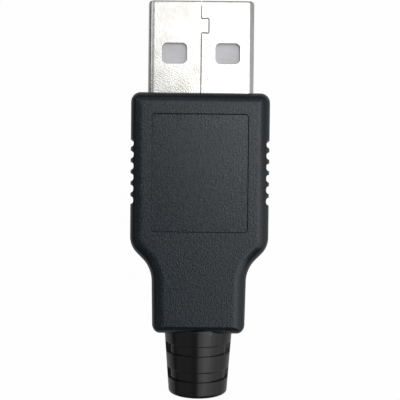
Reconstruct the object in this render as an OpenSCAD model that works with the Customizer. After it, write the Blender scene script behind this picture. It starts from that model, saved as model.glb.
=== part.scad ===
// Cable plug, USB type A, of the kind that is soldered and closed by hand.
// A folded metal shell holds the insulator and its four contacts. Two covers close round
// the back of the shell and round the neck of a slotted strain relief.
//
// Sizes are in millimetres. The plug lies on its back cover: +Z is up through its thickness
// and +Y points out of the mouth. The origin is at the bottom, in the middle of the length.

/* [Plug shell] */
// Width of the shell over the outside
shell_w = 12.0; // [11.4:0.1:12.6]
// Height of the shell over the outside
shell_h = 4.5; // [4.2:0.1:4.8]
// Length of the folded box, from mouth to back edge
shell_len = 18.7; // [17.0:0.1:20.0]
// Length of shell that stands out of the covers
plug_reach = 10.4; // [9.0:0.1:12.0]
// Thickness of the sheet
sheet_t = 0.3; // [0.2:0.05:0.4]
// Outside radius of the four long bends
bend_r = 0.75; // [0.5:0.05:1.0]
// Bevel round the outside of the mouth
mouth_bevel = 0.15; // [0.05:0.05:0.2]
// Width of the gap where the two edges of the sheet meet
seam_gap = 0.1; // [0.06:0.02:0.2]
// How far the seam's interlocking tab reaches sideways
tab_w = 0.85; // [0.5:0.05:1.2]
// Length of the interlocking tab
tab_len = 1.7; // [1.2:0.1:2.2]
// Distance from the mouth to the tab
tab_from_mouth = 2.0; // [1.2:0.1:2.6]

/* [Shell windows] */
// Width of each latch window
window_w = 2.8; // [2.2:0.1:3.2]
// Length of each latch window
window_len = 2.35; // [1.8:0.05:2.8]
// Corner radius of the windows
window_r = 0.5; // [0.2:0.05:0.6]
// Distance between the centres of the two windows
window_pitch = 6.0; // [5.4:0.1:6.6]
// Distance from the mouth to the windows
window_from_mouth = 4.8; // [4.4:0.1:5.6]

/* [Cable crimp] */
// Width of the strap that joins the shell to the crimp
strap_w = 3.0; // [2.4:0.1:3.4]
// Length of the strap
strap_len = 4.6; // [4.0:0.1:5.6]
// Outside width of the open crimp
crimp_w = 4.9; // [4.5:0.1:5.2]
// Height of the crimp's two wings
crimp_h = 3.7; // [3.0:0.1:4.2]
// Length of the crimp
crimp_len = 3.2; // [2.4:0.1:3.8]

/* [Insulator] */
// Thickness of the tongue
tongue_t = 1.85; // [1.7:0.05:2.0]
// Distance from the mouth to the tongue's nose
tongue_setback = 0.5; // [0.3:0.1:0.9]
// Bevel on the nose's corners
nose_bevel = 0.3; // [0.1:0.05:0.5]
// Depth of the mouth, down to the solid block
mouth_depth = 11.7; // [11.0:0.1:12.4]
// Distance from the block to the shell's back edge
block_setback = 0.6; // [0.3:0.1:1.0]
// Width of the shelf that carries the solder tails
shelf_w = 9.2; // [8.8:0.1:9.6]
// Length of the shelf behind the block
shelf_len = 2.6; // [2.0:0.1:3.2]
// Thickness of the shelf
shelf_t = 1.1; // [0.9:0.05:1.5]

/* [Contacts] */
// Width of a contact
contact_w = 1.0; // [0.8:0.05:1.2]
// Thickness of a contact
contact_t = 0.25; // [0.2:0.01:0.3]
// Distance between the two inner contacts
inner_pitch = 2.0; // [1.8:0.1:2.2]
// Distance between the two outer contacts
outer_pitch = 7.0; // [6.8:0.1:7.4]
// Distance from the tongue's nose to the outer contacts
outer_lead = 0.8; // [0.6:0.1:1.2]
// Distance from the tongue's nose to the inner contacts
inner_lead = 1.8; // [1.5:0.1:2.4]
// How far the contacts stand proud of the tongue
contact_proud = 0.06; // [0.04:0.01:0.1]
// How far the solder tails run past the shelf
tail_len = 0.9; // [0.6:0.1:1.4]

/* [Covers] */
// Thickness of the closed covers
cover_thk = 8.2; // [7.9:0.1:9.0]
// Length of the covers
cover_len = 27.0; // [26.0:0.1:29.0]
// Width at the shell's end
body_w = 15.76; // [15.4:0.02:17.0]
// Width just before the shoulders
body_back_w = 15.66; // [15.3:0.02:17.0]
// Width just behind the shoulders
neck_w = 10.8; // [10.5:0.02:11.6]
// Width at the cable end
neck_back_w = 10.5; // [10.3:0.02:11.6]
// Distance from the shell's end to the corner of the shoulders
shoulder_y = 17.35; // [16.8:0.05:18.2]
// Angle of the shoulders off the plug's length
shoulder_deg = 45; // [35:1:50]
// Radius of the outward shoulder curve
shoulder_out_r = 2.7; // [2.2:0.1:3.2]
// Radius of the inward shoulder curve
shoulder_in_r = 3.5; // [2.8:0.1:4.0]
// Corner radius of the outline at the shell's end
corner_r = 1.2; // [0.8:0.1:1.6]
// Corner radius of the outline at the cable end
tail_corner_r = 1.0; // [0.8:0.1:1.6]
// Radius from the faces into the sides
edge_r = 1.5; // [1.0:0.1:1.8]
// Radius from the faces into the cable end
tail_edge_r = 1.0; // [0.9:0.05:1.4]
// Draft of the side walls
draft_deg = 2; // [0.5:0.5:3]
// Thickness of the side walls
side_wall = 1.25; // [1.0:0.05:1.5]
// Thickness of the two faces
face_wall = 1.2; // [0.9:0.05:1.4]
// Thickness of the end wall round the shell
nose_wall = 1.5; // [1.2:0.1:2.0]

/* [Face panel] */
// Width of the sunken panel
panel_w = 10.6; // [9.0:0.1:11.4]
// Length of the sunken panel
panel_len = 13.0; // [11.0:0.1:13.4]
// Distance from the shell's end to the panel
panel_from_nose = 2.65; // [2.2:0.05:3.0]
// Depth of the panel
panel_sink = 0.18; // [0.1:0.02:0.3]
// Corner radius of the panel
panel_r = 0.35; // [0.2:0.05:0.8]

/* [Side grips] */
// Number of grooves on each side
groove_count = 6; // [3:1:7]
// Distance between grooves
groove_pitch = 1.27; // [1.2:0.01:1.5]
// Width of a groove
groove_w = 0.8; // [0.7:0.02:1.0]
// Depth of a groove
groove_sink = 0.5; // [0.2:0.02:0.5]
// Distance from the shell's end to the first groove's middle
groove_from_nose = 5.84; // [4.6:0.02:6.4]
// How square a groove's floor is, where 1 is a plain bow
groove_square = 0.7; // [0.5:0.05:1]

/* [Ribs and pegs] */
// Thickness of the ribs that carry the shell
rib_t = 1.2; // [0.8:0.1:1.6]
// Distance from the shell's end to the rib
rib_from_nose = 3.9; // [3.2:0.1:4.6]
// Diameter of the studs that hold the shell by its holes
stud_d = 1.3; // [1.0:0.1:1.6]
// Distance between the two studs
stud_pitch = 6.0; // [5.0:0.1:7.0]
// Distance from the shell's end to the studs
stud_from_nose = 6.4; // [6.0:0.1:7.0]
// Diameter of the pegs that join the covers
peg_d = 1.0; // [0.8:0.1:1.1]
// Length of the pegs
peg_len = 1.6; // [1.2:0.1:2.0]
// Diameter of the posts that the back pegs stand on
post_d = 2.2; // [1.8:0.1:2.6]
// Distance from the shell's end to the front pegs
front_peg_y = 1.75; // [1.6:0.05:2.2]
// Distance from the shell's end to the back pegs
back_peg_y = 15.2; // [14.4:0.1:15.8]

/* [Strain relief] */
// Diameter where it leaves the covers
boot_d = 7.82; // [7.3:0.02:7.9]
// Diameter at the free end
boot_end_d = 6.72; // [6.4:0.02:7.2]
// Length outside the covers
boot_len = 7.2; // [6.6:0.1:9.0]
// Diameter of the hole for the cable
bore_d = 4.2; // [3.6:0.1:4.5]
// Round on the free end's edge
boot_round = 0.15; // [0.1:0.05:0.4]
// Depth to which it is let into the covers
boot_seat = 0.4; // [0.2:0.05:0.5]
// Diameter of the waist that the covers clamp
waist_d = 5.5; // [5.3:0.1:5.8]
// Thickness of the covers' wall in the waist
clamp_t = 1.2; // [1.0:0.1:1.6]
// Diameter of the head inside the covers
head_d = 6.6; // [6.2:0.1:6.8]
// Length of the head
head_len = 1.3; // [1.0:0.1:1.8]
// Number of slotted bands
band_count = 2; // [1:1:2]
// Distance from the covers to the first band
band_from_cover = 1.35; // [1.1:0.05:1.6]
// Distance from one band to the next
band_pitch = 2.92; // [2.6:0.02:3.0]
// Length of a band
band_len = 1.14; // [0.9:0.02:1.3]
// Depth of the shallow band
band_sink = 0.1; // [0.06:0.02:0.2]
// Length of the deep line along each band's end
line_len = 0.16; // [0.1:0.02:0.2]
// Depth of the deep line
line_sink = 0.3; // [0.2:0.02:0.4]
// Half the width of the web between the side slots
web_half_w = 3.05; // [2.9:0.05:3.15]
// Thickness of the bridge at the parting plane
bridge_t = 0.6; // [0.4:0.05:1.0]

/* [Fits] */
// Gap between the covers and the shell
shell_fit = 0.05; // [0.02:0.01:0.1]
// Gap between the shell and the insulator
insulator_fit = 0.05; // [0.02:0.01:0.1]
// Gap round each contact
contact_fit = 0.02; // [0.01:0.01:0.04]
// Gap round the pegs and the studs
peg_fit = 0.05; // [0.02:0.01:0.1]
// Gap between the strain relief and the covers
boot_fit = 0.05; // [0.02:0.01:0.08]

/* [Hidden] */
$fn = 48;

metal_colour = "#c9cccf";
insulator_colour = "#e4e4e6";
contact_colour = "#d8b45a";
cover_colour = "#2b2e31";
boot_colour = "#1d1e20";

over = 1;                          // how far a cut runs past the face that it opens
bond = 0.2;                        // how far pieces of one moulding run into each other
half_thk = cover_thk / 2;
roof_z = half_thk - face_wall;     // the height of the covers' hollow over the parting plane

// Along the plug, measured from the covers' end face round the shell
mouth_y = plug_reach;
shell_back_y = mouth_y - shell_len;
cable_y = -cover_len;
boot_end_y = cable_y - boot_len;
middle_y = (mouth_y + boot_end_y) / 2;

// Inside the shell, measured from the parting plane
sheet_in_z = shell_h / 2 - sheet_t;
tongue_top_z = sheet_in_z - insulator_fit;
tongue_low_z = tongue_top_z - tongue_t;
nose_y = mouth_y - tongue_setback;
block_y = mouth_y - mouth_depth;
block_back_y = shell_back_y + block_setback;
shelf_back_y = block_back_y - shelf_len;
contact_low_z = tongue_low_z - contact_proud;
stud_hole_d = stud_d + 2 * peg_fit;

// The strain relief's seat in the covers
seat_floor_y = cable_y + boot_seat;
clamp_y = seat_floor_y + boot_fit + clamp_t;
head_y = clamp_y + boot_fit;
head_end_y = head_y + head_len;

// The places of the two pegs on the right side
front_peg_x = (shell_w / 2 + shell_fit + body_w / 2) / 2;
back_peg_x = body_back_w / 2 - side_wall - post_d / 2 + bond;
peg_places = [[front_peg_x, -front_peg_y], [back_peg_x, -back_peg_y]];

tooth_r = (groove_pitch - groove_w) / 2;     // the round tip of a tooth between two grooves

// ---- Helpers ----

function unit(v) = v / norm(v);

// Points of the round that replaces corner b of the path a, b, c
function round_corner(a, b, c, r, steps) =
    let (
        u = unit(a - b),
        v = unit(c - b),
        half = acos(u * v) / 2,
        middle = b + unit(u + v) * r / sin(half),
        first = b + u * r / tan(half) - middle,
        last = b + v * r / tan(half) - middle,
        from = atan2(first[1], first[0]),
        turn = (atan2(last[1], last[0]) - from + 540) % 360 - 180
    )
    [for (i = [0:steps]) middle + r * [cos(from + turn * i / steps), sin(from + turn * i / steps)]];

// A path down the right side, closed by its mirror image up the left side
function both_sides(right) =
    concat(right, [for (i = [len(right) - 1:-1:0]) [-right[i][0], right[i][1]]]);

// Draws the children's flat shape in X and Z and runs it from one Y to another
module along_y(from, to) {
    translate([0, to, 0])
        rotate([90, 0, 0])
            linear_extrude(to - from)
                children();
}

// Draws the children's flat shape in Y and Z and runs it across X
module across_x(width) {
    translate([-width / 2, 0, 0])
        rotate([90, 0, 90])
            linear_extrude(width)
                children();
}

// A box that is centred on X and given by its lowest and highest Y and Z
module slab(width, from_y, to_y, from_z, to_z) {
    translate([-width / 2, from_y, from_z])
        cube([width, to_y - from_y, to_z - from_z]);
}

module rounded_rectangle(width, height, r) {
    square([width - 2 * r, height], center = true);
    square([width, height - 2 * r], center = true);
    for (x = [-1, 1], y = [-1, 1])
        translate([x * (width / 2 - r), y * (height / 2 - r)])
            circle(r);
}

// Two copies of something that is its own mirror image, at plus and minus x
module pair(x) {
    for (side = [-1, 1])
        translate([side * x, 0, 0])
            children();
}

// The children and their mirror image
module on_both_sides() {
    children();
    mirror([1, 0, 0])
        children();
}

module placed() {
    translate([0, -middle_y, half_thk])
        children();
}

// ---- Plug shell ----

module shell_outline(gap) {
    rounded_rectangle(shell_w + 2 * gap, shell_h + 2 * gap, bend_r + gap);
}

module shell_inside() {
    rounded_rectangle(shell_w - 2 * sheet_t, shell_h - 2 * sheet_t, bend_r - sheet_t);
}

// One straight run of the seam between two points of the plan
module seam_run(a, b) {
    translate([min(a[0], b[0]) - seam_gap / 2, min(a[1], b[1]) - seam_gap / 2])
        square([abs(a[0] - b[0]) + seam_gap, abs(a[1] - b[1]) + seam_gap]);
}

// The seam's path: straight, round the tab and straight on
module seam() {
    tab_y = mouth_y - tab_from_mouth;
    path = [[0, mouth_y + over], [0, tab_y], [tab_w, tab_y], [tab_w, tab_y - tab_len],
            [0, tab_y - tab_len], [0, shell_back_y - over]];
    translate([0, 0, sheet_in_z - sheet_t])
        linear_extrude(3 * sheet_t)
            for (i = [1:len(path) - 1])
                seam_run(path[i - 1], path[i]);
}

module windows() {
    window_y = mouth_y - window_from_mouth - window_len / 2;
    pair(window_pitch / 2)
        translate([0, window_y, -shell_h])
            linear_extrude(2 * shell_h)
                rounded_rectangle(window_w, window_len, window_r);
}

module stud_holes() {
    pair(stud_pitch / 2)
        translate([0, -stud_from_nose, -shell_h])
            cylinder(h = 2 * shell_h, d = stud_hole_d);
}

// Bevels the outside of the mouth on its two broad and its two narrow faces
module mouth_bevels() {
    for (side = [0, 1])
        mirror([0, 0, side])
            across_x(shell_w + over)
                polygon([[mouth_y - 2 * mouth_bevel, shell_h / 2], [mouth_y, shell_h / 2 - mouth_bevel],
                         [mouth_y + over, shell_h / 2 - mouth_bevel], [mouth_y + over, shell_h / 2 + over],
                         [mouth_y - 2 * mouth_bevel, shell_h / 2 + over]]);
    on_both_sides()
        translate([0, 0, -shell_h])
            linear_extrude(2 * shell_h)
                polygon([[shell_w / 2, mouth_y - 2 * mouth_bevel], [shell_w / 2 - mouth_bevel, mouth_y],
                         [shell_w / 2 - mouth_bevel, mouth_y + over], [shell_w / 2 + over, mouth_y + over],
                         [shell_w / 2 + over, mouth_y - 2 * mouth_bevel]]);
}

module shell_box() {
    difference() {
        along_y(shell_back_y, mouth_y)
            difference() {
                shell_outline(0);
                shell_inside();
            }
        seam();
        windows();
        stud_holes();
        mouth_bevels();
    }
}

// The strap and the open crimp that folds round the cable
module crimp() {
    base_z = -shell_h / 2;
    strap_end_y = shell_back_y - strap_len;
    slab(strap_w, strap_end_y - bond, shell_back_y + bond, base_z, base_z + sheet_t);
    along_y(strap_end_y - crimp_len, strap_end_y)
        translate([0, base_z + crimp_h])
            difference() {
                rounded_rectangle(crimp_w, 2 * crimp_h, bend_r);
                rounded_rectangle(crimp_w - 2 * sheet_t, 2 * (crimp_h - sheet_t), bend_r - sheet_t);
                translate([-crimp_w, 0])
                    square([2 * crimp_w, crimp_h + over]);
            }
}

module plug_shell() {
    color(metal_colour)
        placed() {
            shell_box();
            crimp();
        }
}

// ---- Insulator and contacts ----

// Where each contact lies across the plug, and how far it starts from the tongue's nose
power_x = outer_pitch / 2;
data_x = inner_pitch / 2;

module contact_channel(x, lead) {
    gap = contact_fit;
    translate([x, 0, 0])
        slab(contact_w + 2 * gap, shelf_back_y - over, nose_y - lead + gap,
             contact_low_z - gap, contact_low_z + contact_t + gap);
}

module insulator() {
    inside_w = shell_w - 2 * sheet_t - 2 * insulator_fit;
    inside_h = 2 * tongue_top_z;
    inside_r = max(bend_r - sheet_t - insulator_fit, 0.1);
    color(insulator_colour)
        placed()
            difference() {
                union() {
                    along_y(block_back_y, nose_y)
                        rounded_rectangle(inside_w, inside_h, inside_r);
                    slab(shelf_w, shelf_back_y, block_back_y + bond, tongue_low_z, tongue_low_z + shelf_t);
                }
                slab(shell_w, block_y, nose_y + over, -shell_h, tongue_low_z);
                across_x(shell_w)
                    polygon([[nose_y - nose_bevel, tongue_low_z - over], [nose_y - nose_bevel, tongue_low_z],
                             [nose_y, tongue_low_z + nose_bevel], [nose_y + over, tongue_low_z + nose_bevel],
                             [nose_y + over, tongue_low_z - over]]);
                for (side = [-1, 1]) {
                    contact_channel(side * power_x, outer_lead);
                    contact_channel(side * data_x, inner_lead);
                }
            }
}

// A strip along the tongue, with a sloped nose, whose tail is set up for soldering
module contact(x, lead) {
    start_y = nose_y - lead;
    end_y = shelf_back_y - tail_len;
    low_z = contact_low_z;
    high_z = contact_low_z + contact_t;
    slope = contact_t * 2;
    color(contact_colour)
        placed()
            translate([x, 0, 0])
                across_x(contact_w)
                    polygon([[start_y, high_z], [start_y, high_z - contact_t / 4], [start_y - slope, low_z],
                             [shelf_back_y, low_z], [end_y, low_z - contact_t],
                             [end_y, low_z], [shelf_back_y, high_z]]);
}

module contact_power() {
    contact(power_x, outer_lead);
}

module contact_data_minus() {
    contact(data_x, inner_lead);
}

module contact_data_plus() {
    contact(-data_x, inner_lead);
}

module contact_ground() {
    contact(-power_x, outer_lead);
}

// ---- Covers ----

// How far a face's round has drawn in at height z
function round_inset(z, r) =
    z <= half_thk - r ? 0 : r - sqrt(max(0, pow(r, 2) - pow(z - half_thk + r, 2)));

// What is left of a corner's radius when its sides are drawn in
function corner_left(r, side) = max(r - side, r / 4);

// The covers' outline, drawn in from its sides, its shell end and its cable end
function cover_outline(side, nose, tail, steps) =
    let (
        shift = side * tan(shoulder_deg / 2),
        shoulder_rise = (body_back_w - neck_w) / 2 / tan(shoulder_deg),
        path = [
            [body_w / 2 - side, -nose],
            [body_back_w / 2 - side, -shoulder_y + shift],
            [neck_w / 2 - side, -shoulder_y - shoulder_rise + shift],
            [neck_back_w / 2 - side, cable_y + tail]
        ],
        radii = [corner_left(corner_r, side), shoulder_out_r - side, shoulder_in_r + side,
                 corner_left(tail_corner_r, side)],
        ends = [[-path[0][0], path[0][1]], [-path[3][0], path[3][1]]],
        whole = concat([ends[0]], path, [ends[1]])
    )
    both_sides([for (i = [0:3]) each round_corner(whole[i], whole[i + 1], whole[i + 2], radii[i], steps)]);

// The heights of the loft's sections: the drafted wall, then the round in equal turns
round_steps = 9;
section_z = concat([0], [for (i = [0:round_steps]) half_thk - edge_r + edge_r * sin(90 * i / round_steps)]);
arc_steps = 8;
hollow_steps = 3;

// A flat cap over count points of a mirrored outline, as convex strips across it
function cap_strips(first, count) =
    [for (i = [0:count / 2 - 2]) [first + i, first + i + 1, first + count - 2 - i, first + count - 1 - i]];

function turned_over(faces) = [for (face = faces) [for (i = [len(face) - 1:-1:0]) face[i]]];

// One cover's outside: sections of the outline that draw in towards the face
module cover_loft() {
    sections = [for (z = section_z)
        let (draft = min(z, half_thk - edge_r) * tan(draft_deg))
        [for (p = cover_outline(draft + round_inset(z, edge_r), draft + round_inset(z, edge_r),
                                draft + round_inset(z, tail_edge_r), arc_steps)) [p[0], p[1], z]]];
    count = len(sections[0]);
    top = len(sections) - 1;
    polyhedron(
        points = [for (section = sections) each section],
        faces = concat(
            turned_over(cap_strips(0, count)),
            [for (k = [0:top - 1], i = [0:count - 1])
                let (next = (i + 1) % count)
                [k * count + i, k * count + next, (k + 1) * count + next, (k + 1) * count + i]],
            cap_strips(top * count, count)
        ),
        convexity = 6
    );
}

// The hollow inside a cover's walls
module cover_hollow() {
    translate([0, 0, -over])
        linear_extrude(roof_z + over)
            polygon(cover_outline(side_wall, nose_wall, clamp_y - cable_y, hollow_steps));
}

// A rib across the hollow, the stops behind the shell and the posts of the back pegs
module ribs() {
    stop_y = shell_back_y - shell_fit;
    stop_in_x = shell_w / 2 - 3 * sheet_t;
    stop_w = body_back_w / 2 - side_wall + bond - stop_in_x;
    slab(body_w - 2 * side_wall + bond, -rib_from_nose - rib_t, -rib_from_nose, 0, roof_z + bond);
    pair(stop_in_x + stop_w / 2)
        slab(stop_w, stop_y - rib_t, stop_y, 0, roof_z + bond);
    pair(back_peg_x)
        translate([0, -back_peg_y, 0])
            cylinder(h = roof_z + bond, d = post_d);
}

// The seat of the shell, right through the end wall
module shell_seat() {
    along_y(shell_back_y - shell_fit, over)
        shell_outline(shell_fit);
}

// The seats of the strain relief's collar, waist and head
module boot_seats() {
    rotate([-90, 0, 0]) {
        translate([0, 0, cable_y - over])
            cylinder(h = boot_seat + over, d = boot_d + 2 * boot_fit);
        translate([0, 0, cable_y - over])
            cylinder(h = clamp_y - cable_y + 2 * over, d = waist_d + 2 * boot_fit);
        translate([0, 0, clamp_y])
            cylinder(h = head_len + 2 * boot_fit, d = head_d + 2 * boot_fit);
    }
}

// One point of a groove's section at angle a, as its share of the depth and of the half width
function groove_spot(a) = [pow(sin(a), groove_square), sign(cos(a)) * pow(abs(cos(a)), groove_square)];

// The air beside one row of teeth: grooves with bowed floors, between teeth with round tips
function grip_air(x) =
    let (
        half_w = groove_w / 2,
        bow = min(half_w, groove_sink),
        floor_x = x - groove_sink + bow,
        last = groove_count - 1,
        groove_y = [for (k = [0:last]) -groove_from_nose - k * groove_pitch]
    )
    concat(
        [[x + over, groove_y[0] + half_w], [x, groove_y[0] + half_w]],
        [for (k = [0:last]) each concat(
            [for (a = [18:18:162]) let (spot = groove_spot(a))
                [floor_x - bow * spot[0], groove_y[k] + half_w * spot[1]]],
            k == last ? [] : [for (a = [30:30:150]) [x - tooth_r + tooth_r * sin(a),
                                                     groove_y[k] - half_w - tooth_r + tooth_r * cos(a)]]
        )],
        [[x, groove_y[last] - half_w], [x + over, groove_y[last] - half_w]]
    );

module grip_cuts() {
    on_both_sides()
        translate([0, 0, -over])
            linear_extrude(cover_thk)
                polygon(grip_air((body_w + body_back_w) / 4));
}

module panel_cut() {
    translate([0, -panel_from_nose - panel_len / 2, half_thk - panel_sink])
        linear_extrude(panel_sink + over)
            rounded_rectangle(panel_w, panel_len, panel_r);
}

// Two studs under the face that stand in the shell's holes
module studs() {
    stud_end_z = sheet_in_z + shell_fit;
    pair(stud_pitch / 2)
        translate([0, -stud_from_nose, stud_end_z])
            cylinder(h = roof_z + bond - stud_end_z, d = stud_d);
}

module half_cover() {
    difference() {
        union() {
            difference() {
                cover_loft();
                cover_hollow();
            }
            ribs();
        }
        shell_seat();
        boot_seats();
        grip_cuts();
        panel_cut();
    }
    studs();
}

module front_cover() {
    color(cover_colour)
        placed()
            difference() {
                half_cover();
                for (place = peg_places)
                    pair(place[0])
                        translate([0, place[1], -over])
                            cylinder(h = peg_len + peg_fit + over, d = peg_d + 2 * peg_fit);
            }
}

module back_cover() {
    color(cover_colour)
        placed() {
            mirror([0, 0, 1])
                half_cover();
            for (place = peg_places)
                pair(place[0])
                    translate([0, place[1], -bond])
                        cylinder(h = peg_len + bond, d = peg_d);
        }
}

// ---- Strain relief ----

function boot_radius(y) =
    boot_d / 2 + (boot_end_d - boot_d) / 2 * min(max((cable_y - y) / boot_len, 0), 1);

module boot_section() {
    polygon(concat(
        [[bore_d / 2, head_end_y], [head_d / 2, head_end_y], [head_d / 2, head_y], [waist_d / 2, head_y],
         [waist_d / 2, seat_floor_y], [boot_d / 2, seat_floor_y], [boot_d / 2, cable_y]],
        round_corner([boot_d / 2, cable_y], [boot_end_d / 2, boot_end_y], [bore_d / 2, boot_end_y],
                     boot_round, 4),
        [[bore_d / 2, boot_end_y]]
    ));
}

// What one band takes off the web: a shallow step, and a deep line along its end
module band_section(k) {
    top_y = cable_y - band_from_cover - k * band_pitch;
    low_y = top_y - band_len;
    line_y = low_y + line_len;
    polygon([[boot_radius(top_y) + over, top_y], [boot_radius(top_y) - band_sink, top_y],
             [boot_radius(line_y) - band_sink, line_y], [boot_radius(line_y) - line_sink, line_y],
             [boot_radius(low_y) - line_sink, low_y], [boot_radius(low_y) + over, low_y]]);
}

// One band on the front and the back: it stops at the bridges, beside which it opens into slots
module band(k) {
    low_y = cable_y - band_from_cover - k * band_pitch - band_len;
    difference() {
        rotate([-90, 0, 0])
            rotate_extrude()
                band_section(k);
        slab(2 * boot_d, low_y - over, low_y + band_len + over, -bridge_t / 2, bridge_t / 2);
    }
    on_both_sides()
        for (side = [0, 1])
            mirror([0, 0, side])
                translate([web_half_w, low_y, bridge_t / 2])
                    cube([boot_d, band_len, boot_d]);
}

module strain_relief() {
    color(boot_colour)
        placed()
            difference() {
                rotate([-90, 0, 0])
                    rotate_extrude()
                        boot_section();
                for (k = [0:band_count - 1])
                    band(k);
            }
}

plug_shell();
insulator();
contact_power();
contact_data_minus();
contact_data_plus();
contact_ground();
front_cover();
back_cover();
strain_relief();
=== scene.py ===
"""A USB type A plug with a folded metal shell, a two-part housing and a slotted strain relief.

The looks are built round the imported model, which gives every place. Sizes are in millimetres.
"""

import logging
import math
from contextlib import contextmanager
from dataclasses import dataclass, field
from enum import Enum
from functools import cache
from typing import Callable, Iterable, Iterator, Sequence, Union

import bmesh
import bpy
import numpy as np
from mathutils import Matrix, Vector


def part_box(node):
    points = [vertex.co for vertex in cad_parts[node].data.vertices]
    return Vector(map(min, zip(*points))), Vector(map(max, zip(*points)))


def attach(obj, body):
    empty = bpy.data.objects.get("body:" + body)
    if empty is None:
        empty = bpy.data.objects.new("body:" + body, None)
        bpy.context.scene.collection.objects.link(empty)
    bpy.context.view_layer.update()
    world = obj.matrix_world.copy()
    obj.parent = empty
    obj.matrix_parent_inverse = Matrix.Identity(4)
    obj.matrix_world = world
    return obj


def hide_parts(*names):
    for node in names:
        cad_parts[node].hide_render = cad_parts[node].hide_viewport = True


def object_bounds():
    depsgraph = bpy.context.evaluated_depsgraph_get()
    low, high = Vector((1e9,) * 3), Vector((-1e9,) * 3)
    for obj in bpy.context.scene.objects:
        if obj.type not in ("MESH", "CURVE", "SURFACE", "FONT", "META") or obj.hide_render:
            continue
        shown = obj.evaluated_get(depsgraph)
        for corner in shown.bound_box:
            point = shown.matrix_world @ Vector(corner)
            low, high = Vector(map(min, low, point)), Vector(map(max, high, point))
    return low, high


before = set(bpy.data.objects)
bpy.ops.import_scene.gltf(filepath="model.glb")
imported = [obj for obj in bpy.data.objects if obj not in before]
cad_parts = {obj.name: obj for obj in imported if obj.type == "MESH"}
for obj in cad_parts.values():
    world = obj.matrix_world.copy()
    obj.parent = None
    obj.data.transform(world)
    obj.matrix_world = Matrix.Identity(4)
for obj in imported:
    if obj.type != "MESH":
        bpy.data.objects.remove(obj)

log = logging.getLogger("plug")

MM = 0.001
BODY = "root"
CAD_BOX = [list(corner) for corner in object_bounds()]
PAST = 1.0  # how far a cutter reaches past what it opens
HAIR = 0.001  # what keeps the two loops of a square step apart
TINY = 1e-6  # what stands in for 0 under a division

Point = tuple[float, float, float]
Spot = tuple[float, float]
Colour = tuple[float, float, float]
Feed = Union["Wire", float, Colour]


# ---- Shader wiring ----


class Wire:
    """One output socket of a node tree, whose arithmetic adds Math nodes."""

    def __init__(self, board: "Board", socket: bpy.types.NodeSocket) -> None:
        """Keeps a socket with the board that it is on.

        Args:
            board: The board.
            socket: The output socket.
        """
        self.board = board
        self.socket = socket

    def __add__(self, other: Feed) -> "Wire":
        """Adds a wire or a number."""
        return self.board.maths("ADD", self, other)

    def __sub__(self, other: Feed) -> "Wire":
        """Takes a wire or a number away."""
        return self.board.maths("SUBTRACT", self, other)

    def __rsub__(self, other: Feed) -> "Wire":
        """Takes this wire away from a number."""
        return self.board.maths("SUBTRACT", other, self)

    def __mul__(self, other: Feed) -> "Wire":
        """Multiplies by a wire or a number."""
        return self.board.maths("MULTIPLY", self, other)

    __radd__ = __add__
    __rmul__ = __mul__

    def ramp(self, low: float, high: float) -> "Wire":
        """Turns the range from low to high into a smooth step from 0 to 1.

        Args:
            low: The value that gives 0.
            high: The value that gives 1.

        Returns:
            The step.
        """
        settings = {"interpolation_type": "SMOOTHSTEP"}
        return self.board.node("ShaderNodeMapRange", settings, [self, low, high, 0.0, 1.0])


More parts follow.
